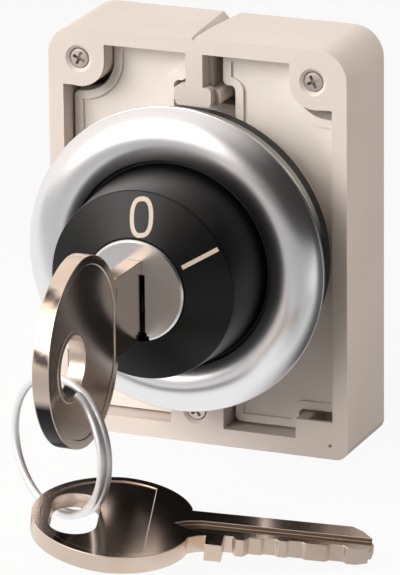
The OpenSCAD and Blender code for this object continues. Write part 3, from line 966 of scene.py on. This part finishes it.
def spread_kit(model: bpy.types.Object, swing: float) -> NodeKit:
    """A tree that sets a model on every point, each turned by its own amount.

    Args:
        model: The model.
        swing: The most that it turns about Y either way, in radians.

    Returns:
        The tree, whose input is the turns' seed.
    """
    kit = NodeKit("set_on_points", {"Seed": 3})
    source = kit.add("GeometryNodeObjectInfo", {"Object": model})
    turn = kit.add(
        "FunctionNodeRandomValue",
        {0: (0.0, -swing, 0.0), 1: (0.0, swing, 0.0), "Seed": kit.inputs["Seed"]},
        {"data_type": "FLOAT_VECTOR"},
    )
    spread = kit.add(
        "GeometryNodeInstanceOnPoints",
        {
            "Points": kit.inputs["Geometry"],
            "Instance": source.outputs["Geometry"],
            "Rotation": turn.outputs[0],
        },
    )
    kit.close(spread.outputs[0])
    return kit


def chain(name: str, points: Iterable[Point]) -> bpy.types.Object:
    """A row of points joined by edges.

    Args:
        name: The row's name.
        points: The points in millimetres.

    Returns:
        The new object.
    """
    bm = bmesh.new()
    verts = [bm.verts.new(point) for point in points]
    for pair in zip(verts, verts[1:]):
        bm.edges.new(pair)
    return from_bmesh(name, bm)


def swept(
    name: str, points: Iterable[Point], radius: float, slot: str, facets: int
) -> bpy.types.Object:
    """A wire of a given radius along a path, both in millimetres."""
    values = {"Wire Radius": radius * MM, "Facets": facets, "Finish": paint(slot)}
    return wire_kit().run(chain(name, points), values)


# The pieces


@dataclass
class FrontRing:
    """Chromed ring with a crowned face, its gasket and the seal in its mouth."""

    outer: float = 20.0
    back: float = -6.8
    edge: float = -7.4
    rim: float = 0.05
    crest_radius: float = 15.97
    crest_centre: float = -5.91
    crown: float = 4.29
    mouth: float = 13.4
    mouth_front: float = -9.2
    lip: float = 0.12
    shoulder: float = -8.1
    barrel: float = 14.95
    barrel_gap: float = 0.05
    gasket_outer: float = 18.7
    gasket_front: float = -4.5
    gasket_step: float = -3.0
    gasket_foot: float = 18.2
    gasket_back: float = -0.3
    gasket_gap: float = 0.25
    gasket_joint: float = 0.01
    skirt_inset: float = 0.2
    seal_radius: float = 0.25
    seal_front: float = 0.45

    def crown_points(self, count: int = 40) -> list[Pair]:
        """Points on the crowned face from its outer edge to the mouth.

        Args:
            count: How many points.

        Returns:
            The points as (radius, y).
        """
        first = math.asin((self.outer - self.rim - self.crest_radius) / self.crown)
        last = math.asin((self.mouth + self.lip - self.crest_radius) / self.crown)
        points = []
        for i in range(count):
            a = first + (last - first) * i / (count - 1)
            radius = self.crest_radius + self.crown * math.sin(a)
            points.append((radius, self.crest_centre - self.crown * math.cos(a)))
        return points

    def gasket_band(
        self, name: str, outer: float, front: float, back: float, front_round: float
    ) -> bpy.types.Object:
        """Turns one part of the gasket, a band round the barrel.

        Args:
            name: The part's name.
            outer: Its outer radius.
            front: Its front face's y.
            back: Its back face's y.
            front_round: Radius of its outer front corner.

        Returns:
            The new part.
        """
        inner = self.barrel + self.gasket_gap
        corners = (
            (outer, front, front_round), (outer, back, 0.3), (inner, back, 0.2), (inner, front, 0.2)
        )
        return lathe(name, rounded(corners))

    def build(self) -> None:
        """Makes ring, gasket and seal."""
        skirt, bore = self.gasket_outer - self.skirt_inset, self.barrel + self.barrel_gap
        corners = (
            (bore, self.gasket_front, 0.0), (skirt, self.gasket_front, 0.0),
            (skirt, self.back, 0.0), (self.outer, self.back, 0.14), (self.outer, self.edge, 0.1),
        )
        front = [(self.mouth, self.mouth_front), (self.mouth, self.shoulder), (bore, self.shoulder)]
        face = rounded(corners, 3) + self.crown_points() + front
        ring = lathe("front_ring_turned", face, FINE_LATHE_STEPS)
        dress(ring, "ring_chrome", Body.SWITCH, ["front_ring"])
        collar = self.gasket_band(
            "sealing_gasket_collar", self.gasket_outer, self.gasket_front, self.gasket_step, 0.2
        )
        dress(collar, "gasket", Body.SWITCH, ["sealing_gasket"])
        # The gasket's back band takes the black seal finish, a painted shade behind the ring's lip.
        foot = self.gasket_band(
            "sealing_gasket_foot", self.gasket_foot, self.gasket_step + self.gasket_joint,
            self.gasket_back, 0.1,
        )
        dress(foot, "gasket", Body.SWITCH, finish="seal_rubber")
        middle, facets = self.mouth - self.seal_radius, 16
        loop = []
        for i in range(facets):
            a = 2 * math.pi * i / facets
            y = self.shoulder - self.seal_front + self.seal_radius * math.sin(a)
            loop.append((middle + self.seal_radius * math.cos(a), y))
        dress(lathe("housing_seal_turned", loop), "seal_rubber", Body.SWITCH, ["housing_seal"])


@dataclass
class LockHousing:
    """Black lock housing with the dial's two marks, which lie on its cone-shaped face."""

    hub_radius: float = 6.82
    hub_y: float = -20.6
    face_radius: float = 12.35
    face_y: float = -18.2
    face_edge: Pair = (0.12, 0.06)
    cone_edge: Pair = (0.3, 0.15)
    foot_radius: float = 12.88
    foot_y: float = -9.35
    shoulder: float = -8.1
    barrel: float = 14.9
    end: float = 9.5
    bore: float = 6.62
    barrel_bore: float = 8.95
    bore_step: float = -17.6
    mark_half: float = 0.27
    mark_proud: float = 0.015
    mark_sunk: float = 0.05
    zero_at: Pair = (0.56, 9.25)
    zero_half: Pair = (1.26, 2.1)
    zero_power: Pair = (0.72, 0.88)
    zero_tilt: float = -8.0
    bar_reach: Pair = (7.25, 11.85)
    bar_turn: float = 60.4

    def cone_y(self, radius: float) -> float:
        """Finds a place on the cone-shaped face.

        Args:
            radius: The place's distance from the axis.

        Returns:
            Its y.
        """
        span = self.face_radius - self.cone_edge[0] - self.hub_radius
        rise = self.face_y - self.cone_edge[1] - self.hub_y
        return self.hub_y + (radius - self.hub_radius) / span * rise

    def build(self) -> None:
        """Makes the housing and its marks."""
        corners = (
            (self.bore, self.bore_step, 0.0), (self.bore, self.hub_y, 0.12),
            (self.hub_radius, self.hub_y, 0.05),
            (self.face_radius - self.face_edge[0], self.face_y - self.face_edge[1], 0.3),
            (self.foot_radius, self.foot_y, 0.05), (self.foot_radius, self.shoulder, 0.0),
            (self.barrel, self.shoulder, 0.1), (self.barrel, self.end, 0.2),
            (self.barrel_bore, self.end, 0.1), (self.barrel_bore, self.bore_step, 0.0),
        )
        housing = lathe("lock_housing_turned", rounded(corners, 6), FINE_LATHE_STEPS)
        dress(housing, "housing_black", Body.SWITCH, ["lock_housing"])
        self.mark("dial_zero", self.zero_centre(), True)
        self.mark("dial_one", self.bar_centre(), False)

    def zero_centre(self, count: int = 72) -> list[Pair]:
        """Centre line of the figure nought.

        Args:
            count: How many points.

        Returns:
            The points as (x, z) on the face.
        """
        tilt = math.radians(self.zero_tilt)
        points = []
        for i in range(count):
            a = 2 * math.pi * i / count
            shape = zip((math.cos(a), math.sin(a)), self.zero_power, self.zero_half)
            u, v = (abs(part) ** power * math.copysign(half, part) for part, power, half in shape)
            x = self.zero_at[0] + u * math.cos(tilt) + v * math.sin(tilt)
            points.append((x, self.zero_at[1] + v * math.cos(tilt) - u * math.sin(tilt)))
        return points

    def bar_centre(self, count: int = 20) -> list[Pair]:
        """Centre line of the stroke for position one.

        Args:
            count: How many steps.

        Returns:
            The points as (x, z) on the face.
        """
        turn = math.radians(self.bar_turn)
        first, last = self.bar_reach
        spread = [first + (last - first) * i / count for i in range(count + 1)]
        return [(r * math.sin(turn), r * math.cos(turn)) for r in spread]

    def mark(self, name: str, centre: list[Pair], closed: bool) -> None:
        """Lays a painted line on the cone.

        Args:
            name: The mark's name.
            centre: Its centre line, as (x, z).
            closed: Whether the line joins up.
        """
        proud, sunk = -self.mark_proud, self.mark_sunk
        bm = bmesh.new()
        rows = []
        count = len(centre)
        for i, at in enumerate(centre):
            before = Vector(centre[i - 1] if closed or i else at)
            after = Vector(centre[(i + 1) % count] if closed or i < count - 1 else at)
            along = (after - before).normalized()
            side = Vector((along.y, -along.x)) * self.mark_half
            row = []
            for offset, depth in ((side, proud), (-side, proud), (-side, sunk), (side, sunk)):
                x, z = Vector(at) + offset
                row.append(bm.verts.new((x, self.cone_y(math.hypot(x, z)) + depth, z)))
            rows.append(row)
        piece = skinned(name, bm, rows, closed)
        dress(piece, "housing_black", Body.SWITCH, finish="dial_paint")


@dataclass
class FrameScrews:
    """The frame's three sunk screws with their cross recesses."""

    spots: tuple[Pair, ...] = ((-16.1, 22.8), (15.7, 22.8), (-0.5, -22.45))
    head: float = 1.25
    front: float = 0.2
    seat: float = 1.3
    shank: float = 0.9
    shank_end: float = 10.8
    tip: float = 0.7
    tip_start: float = 10.9
    end: float = 12.8
    pole: float = 0.001
    cross: Point = (1.7, 1.3, 0.38)
    cross_inset: float = 0.1
    swing: float = 1.2
    seed: int = 5
    crease_degrees: float = 30.0

    def model(self) -> bpy.types.Object:
        """Makes one screw.

        Returns:
            The screw, at the origin of its own spot.
        """
        corners = (
            (self.pole, self.front, 0.0), (self.head, self.front, 0.25),
            (self.head, self.seat, 0.1), (self.shank, self.seat, 0.0),
            (self.shank, self.shank_end, 0.0),
            (self.tip, self.tip_start, 0.0), (self.tip, self.end, 0.2), (self.pole, self.end, 0.0),
        )
        screw = lathe("screw_blank", rounded(corners, 3), 40)
        bm = bmesh.new()
        for angle in (0.0, math.pi / 2):
            made = bmesh.ops.create_cube(bm, size=1.0)["verts"]
            turn = Matrix.Rotation(angle, 3, "Y")
            bmesh.ops.scale(bm, vec=self.cross, verts=made)
            bmesh.ops.translate(bm, vec=(0, self.front + self.cross_inset, 0), verts=made)
            bmesh.ops.rotate(bm, cent=(0, 0, 0), matrix=turn, verts=made)
        cross = from_bmesh("screw_cross", bm)
        cut = screw.modifiers.new("recess", "BOOLEAN")
        cut.operation, cut.object, cut.solver, cut.use_self = "DIFFERENCE", cross, "EXACT", True
        screw = applied(screw)
        bpy.data.objects.remove(cross)
        crease(screw, self.crease_degrees)
        return screw

    def build(self) -> None:
        """Sets a screw on each spot."""
        model = self.model()
        bm = bmesh.new()
        for x, z in self.spots:
            bm.verts.new((x, 0.0, z))
        values = {"Seed": self.seed, "Finish": paint("screw_steel")}
        screws = spread_kit(model, self.swing).run(from_bmesh("frame_screws_set", bm), values)
        bpy.data.objects.remove(model)
        crease(screws, self.crease_degrees)
        dress(screws, "screw_steel", Body.SWITCH, ["frame_screws"])


@dataclass
class SplitRing:
    """Ring of spring wire in two layers, which carries the spare key."""

    centre: Point = (-1.72, -41.11, -13.98)
    yaw: float = -29.1
    radius: float = 8.65
    wire: float = 0.5
    layer_gap: float = 0.02
    first: float = -460.0
    last: float = 62.0
    cross_from: float = -300.0
    cross_to: float = -250.0
    facets: int = 24
    crease_degrees: float = 40.0

    def path(self, count: int = 420) -> list[Point]:
        """The wire's centre line.

        Args:
            count: How many points.

        Returns:
            The points in millimetres.
        """
        yaw = math.radians(self.yaw)
        across = Vector((math.cos(yaw), math.sin(yaw), 0))
        behind = Vector((-math.sin(yaw), math.cos(yaw), 0)) * (2 * self.wire + self.layer_gap)
        points = []
        for i in range(count):
            degrees = self.first + (self.last - self.first) * i / (count - 1)
            share = (self.cross_to - degrees) / (self.cross_to - self.cross_from)
            a = math.radians(degrees)
            turn = across * self.radius * math.cos(a) + Vector((0, 0, self.radius * math.sin(a)))
            points.append(tuple(Vector(self.centre) + turn + behind * min(1.0, max(0.0, share))))
        return points

    def build(self) -> None:
        """Sweeps the wire."""
        ring = swept("split_ring_wire", self.path(), self.wire, "wire_steel", self.facets)
        crease(ring, self.crease_degrees)
        dress(ring, "wire_steel", Body.RING, ["split_ring"])


@dataclass
class ReturnSpring:
    """Coil spring behind a plunger.

    Attributes:
        side: 1 for the right-hand contact block, -1 for the left-hand one.
        name: The CAD node's name.
        joint: The plunger's joint; not used.
        foot: The y towards which the spring would shorten; not used.
        travel: The plunger's longest way; not used.
    """

    side: int
    name: str
    joint: str
    start: float = 22.5
    end: float = 34.25
    reach: float = 5.35
    radius: float = 1.75
    wire: float = 0.2
    turns: float = 5.0
    steps: int = 240
    facets: int = 10
    crease_degrees: float = 50.0
    foot: float = 34.5
    travel: float = 2.6

    def build(self) -> None:
        """Sweeps the coil."""
        points = []
        for i in range(self.steps + 1):
            a = 2 * math.pi * self.turns * i / self.steps
            x = self.side * self.reach + self.radius * math.cos(a)
            y = self.start + (self.end - self.start) * i / self.steps
            points.append((x, y, self.radius * math.sin(a)))
        spring = swept(f"{self.name}_coil", points, self.wire, "spring_steel", self.facets)
        crease(spring, self.crease_degrees)
        dress(spring, "spring_steel", Body.SWITCH, [self.name])
        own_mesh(spring)


@dataclass
class SoftenedParts:
    """Nodes whose CAD shape is right and only needs its edges rounded.

    Attributes:
        widths: Each node's name and the width of its rounding.
        outlines: Edges that get a larger rounding, by node.
        joins: Corners of a block that is joined to a node first.
        edges: The finish of a node's narrow faces, a lighter copy of its metal as a painted
            highlight.
    """

    widths: tuple[tuple[str, float], ...] = (
        ("front_frame", 0.32), ("inner_panel", 0.16), ("rear_cover", 0.2), ("lock_barrel", 0.1),
        ("ring_nut", 0.12), ("fixing_adapter", 0.2), ("block_open", 0.25), ("block_closed", 0.25),
        ("terminals_open", 0.06), ("terminals_closed", 0.06), ("terminal_screws", 0.15),
        ("lock_plug", 0.1), ("plug_clip", 0.05), ("cam_driver", 0.1), ("wafer_1", 0.05),
        ("wafer_2", 0.05), ("wafer_3", 0.05), ("wafer_4", 0.05), ("wafer_5", 0.05),
        ("plunger_open", 0.08), ("plunger_closed", 0.08), ("bridge_open", 0.06),
        ("bridge_closed", 0.06), ("key_1", 0.12), ("key_2", 0.12),
    )
    outlines: dict[str, Outline] = field(default_factory=lambda: {"front_frame": Outline()})
    joins: dict[str, tuple[Point, Point]] = field(
        default_factory=lambda: {
            "key_1": ((-1.1, -28.9, -6.2), (1.1, -21.02, 4.07)),
            "lock_plug": ((1.5, -20.98, -5.3), (2.2, -18.0, 2.6)),
        }
    )
    # The keys' narrow faces get the lighter finish, a painted highlight.
    edges: dict[str, str] = field(
        default_factory=lambda: {"key_1": "key_edge", "key_2": "key_edge"}
    )

    def build(self) -> None:
        """Rounds and dresses every node in the list."""
        groups = frame["record"]["behaviour"]["bodies"]
        bodies = {node: Body(body) for body, nodes in groups.items() for node in nodes}
        for node, width in self.widths:
            joined, outline = self.joins.get(node), self.outlines.get(node)
            piece = softened(node, f"{node}_finished", width, joined, outline)
            dress(piece, NODE_SLOTS[node], bodies[node], [node], edges=self.edges.get(node))


# Studio


@dataclass
class Camera:
    """The camera where the photograph was taken; clip is in metres."""

    azimuth: float = 22.38
    elevation: float = 17.80
    roll: float = -0.555
    distance: float = 800.1
    target: Point = (0.255, 0.0, -5.80)
    focal_px: float = 6298.0
    frame_px: float = 575.0
    sensor: float = 36.0
    clip: Pair = (0.05, 20.0)

    def build(self) -> None:
        """Makes the camera and gives it to the scene."""
        a, e, r = (math.radians(v) for v in (self.azimuth, self.elevation, self.roll))
        back = Vector((math.sin(a) * math.cos(e), -math.cos(a) * math.cos(e), math.sin(e)))
        level = Vector((math.cos(a), math.sin(a), 0.0))
        upright = back.cross(level)
        right = level * math.cos(r) + upright * math.sin(r)
        up = upright * math.cos(r) - level * math.sin(r)
        data = bpy.data.cameras.new("camera")
        data.sensor_width = self.sensor
        data.lens = self.focal_px / self.frame_px * self.sensor
        data.clip_start, data.clip_end = self.clip
        camera = bpy.data.objects.new("camera", data)
        place = (Vector(self.target) + back * self.distance) * MM
        turn = Matrix((right, up, back)).transposed().to_4x4()
        camera.matrix_world = Matrix.Translation(place) @ turn
        bpy.context.scene.collection.objects.link(camera)
        bpy.context.scene.camera = camera


@dataclass(frozen=True)
class Softbox:
    """A rectangular lamp; shiny pieces mirror the room in its place.

    Attributes:
        name: The lamp's name.
        place: Its centre in millimetres.
        size: Width and height in millimetres.
        power: Its power in watts.
        colour: Its light's colour.
        aim: The point that it faces.
    """

    name: str
    place: Point
    size: Pair
    power: float
    colour: Point = (1.0, 1.0, 1.0)
    aim: Point = (0.0, -15.0, -5.0)

    def build(self) -> None:
        """Adds the lamp to the scene."""
        data = bpy.data.lights.new(self.name, "AREA")
        data.shape, data.energy, data.color = "RECTANGLE", self.power, self.colour
        data.size, data.size_y = (side * MM for side in self.size)
        lamp = bpy.data.objects.new(self.name, data)
        ahead = Vector(self.aim) - Vector(self.place)
        lamp.location = Vector(self.place) * MM
        lamp.rotation_euler = ahead.to_track_quat("-Z", "Y").to_euler()
        lamp.visible_glossy = False
        bpy.context.scene.collection.objects.link(lamp)


@dataclass(frozen=True)
class Glow:
    """A soft bright part of the room.

    Attributes:
        toward: The direction of its middle.
        edges: How far a direction points that way where the glow starts and where it is full.
        level: Its brightness.
    """

    toward: Point
    edges: Pair
    level: float

    def seen(self, s: Shader, direction: bpy.types.NodeSocket) -> Term:
        """Its brightness in a direction."""
        along = Term(s, s.vector("DOT_PRODUCT", {0: direction, 1: self.toward}, "Value"))
        return along.rise(*self.edges) * self.level


@dataclass
class Room:
    """The world: white to the camera, a plain studio to everything else.

    Attributes:
        walls: Glows overhead, in front, on the left and behind on the left.
        main: The wide and the narrow glow that stand for the main softbox.
        dim: Brightness of the room where nothing glows.
        brightest: The most that the walls reach.
        tint: The room's colour.
    """

    walls: tuple[Glow, ...] = (
        Glow((-0.6, 0.0, 0.8), (0.2, 0.95), 1.0),
        Glow((-0.4, -1.0, 0.0), (0.55, 1.0), 0.14),
        Glow((-1.0, 0.0, 0.0), (0.6, 1.0), 0.3),
        Glow((-1.0, 1.0, 0.0), (0.3, 0.9), 0.3),
    )
    main: tuple[Glow, ...] = (
        Glow((-0.46, -0.76, 0.46), (0.8, 0.99), 1.8),
        Glow((-0.46, -0.76, 0.46), (0.93, 1.0), 3.0),
    )
    dim: float = 0.04
    brightest: float = 1.05
    tint: Point = (1.0, 0.95, 0.91)

    def build(self) -> None:
        """Makes the world and gives it to the scene."""
        world = bpy.data.worlds.new("studio")
        world.use_nodes = True
        bpy.context.scene.world = world
        s = Shader(world.node_tree)
        direction = s.add("ShaderNodeTexCoord").outputs["Generated"]
        level = sum((glow.seen(s, direction) for glow in self.walls), self.dim)
        level = sum((glow.seen(s, direction) for glow in self.main), level.least(self.brightest))
        seen = Term(s, s.add("ShaderNodeLightPath").outputs["Is Camera Ray"])
        inputs = {
            "Color": s.blend(seen, self.tint, (1.0, 1.0, 1.0)),
            "Strength": level * (1 - seen) + seen,
        }
        shade = s.add("ShaderNodeBackground", inputs)
        s.add("ShaderNodeOutputWorld", {"Surface": shade.outputs[0]})


@dataclass
class Floor:
    """A pale floor that keeps a soft shadow, with painted shade far off and a painted glow in
    reflections that is darker in parts.

    Attributes:
        height: The floor's z.
        half: Half its side.
        pale: Its colour round the object.
        deep: Its colour far off and behind on the right, a painted shade.
        far_front: Distance in front of the origin from which far is measured.
        far: Distances between which the floor turns deep.
        behind_slope: How much the part behind on the right widens to the back.
        behind_wide: Places between which that part starts to the right.
        behind_deep: Places between which it starts to the back.
        behind_share: How deep its colour is.
        near_wide: The four edges, along X, of the painted shadow under the keys, seen in
            reflections.
        near_deep: Its four edges along Y.
        right_wide: The four edges, along X, of the part in front on the right that is painted
            darker in reflections.
        front_right: Distances to the front between which that part starts.
        front: Distances to the front between which the whole floor is painted darker in
            reflections.
        half_dark: How dark these last two parts are.
        mirrored: Brightness of the floor's painted glow in reflections, and how much a dark part
            takes off.
        glow: Share of plain white to the camera, and of the painted glow in reflections.
    """

    height: float = -26.75
    half: float = 3000.0
    pale: Point = (0.62, 0.61, 0.6)
    deep: Point = (0.26, 0.255, 0.25)
    far_front: float = 20.0
    far: Pair = (45.0, 140.0)
    behind_slope: float = 0.5
    behind_wide: Pair = (0.0, 28.0)
    behind_deep: Pair = (-25.0, 0.0)
    behind_share: float = 0.8
    near_wide: Point = (-27.0, -16.0, 2.0, 13.0)
    near_deep: Point = (-40.0, -34.0, -28.0, -21.0)
    right_wide: Point = (12.0, 34.0, 60.0, 95.0)
    front_right: Pair = (0.0, 30.0)
    front: Pair = (30.0, 96.0)
    half_dark: float = 0.55
    mirrored: Pair = (1.05, 0.97)
    glow: Pair = (0.93, 0.92)

    def build(self) -> None:
        """Makes the floor."""
        bm = bmesh.new()
        bmesh.ops.create_grid(bm, x_segments=1, y_segments=1, size=self.half)
        bmesh.ops.translate(bm, vec=(0, 0, self.height), verts=bm.verts)
        floor = from_bmesh("floor", bm)
        floor.data.materials.append(self.material())

    def material(self) -> bpy.types.Material:
        """Makes the floor's material.

        Returns:
            The new material.
        """
        material, s = new_shader("floor")
        rays = s.add("ShaderNodeLightPath").outputs
        seen, glossy = Term(s, rays["Is Camera Ray"]), Term(s, rays["Is Glossy Ray"])
        x, y, _ = s.split(s.place())
        back = y + self.far_front
        far = ((x * x + back * back) ** 0.5).rise(*self.far)
        behind = (x + y * self.behind_slope).rise(*self.behind_wide) * y.rise(*self.behind_deep)
        near = y.band(self.near_deep) * x.band(self.near_wide)
        right = x.band(self.right_wide) * (0 - y).rise(*self.front_right)
        front = (0 - y).rise(*self.front)
        # Painted reflection: the floor's glow in reflections is darker in these parts, with a
        # painted shadow under the keys.
        dark = behind.most(near).most(right.most(front) * self.half_dark)
        bright, taken = self.mirrored
        level = (seen + (1 - seen) * (bright - dark * taken)).least(1.0)
        light = s.blend(level, (0.0, 0.0, 0.0), (1.0, 1.0, 1.0))
        # Painted shade: the floor's own colour darkens far off and behind on the right.
        colour = s.blend(far.most(behind * self.behind_share), self.pale, self.deep)
        matt = s.add("ShaderNodeBsdfDiffuse", {"Color": colour})
        glow = s.add("ShaderNodeEmission", {"Color": light, "Strength": 1.0})
        share = (seen * self.glow[0] + (1 - seen) * glossy * self.glow[1]).least(1.0)
        inputs = {0: share, 1: matt.outputs[0], 2: glow.outputs[0]}
        mix = s.add("ShaderNodeMixShader", inputs)
        s.add("ShaderNodeOutputMaterial", {"Surface": mix.outputs[0]})
        return material


SOFTBOXES = (
    Softbox("main_softbox", (-315, -490, 285), (400, 360), 1.72),
    Softbox("top_softbox", (-40, -30, 550), (500, 500), 0.15),
    Softbox("right_softbox", (500, 130, 190), (300, 400), 1.6, (1.0, 0.93, 0.88)),
)


def main() -> None:
    """Builds the switch piece by piece, then the studio."""
    logging.basicConfig(level=logging.INFO, format="%(name)s %(message)s")
    SoftenedParts().build()
    FrontRing().build()
    LockHousing().build()
    FrameScrews().build()
    SplitRing().build()
    ReturnSpring(1, "spring_open", "open_plunger_slide").build()
    ReturnSpring(-1, "spring_closed", "closed_plunger_slide").build()
    bpy.context.scene.view_settings.view_transform = "Standard"
    for part in (Camera(), Room(), Floor(), *SOFTBOXES):
        part.build()
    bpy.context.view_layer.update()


if __name__ == "__main__":
    main()
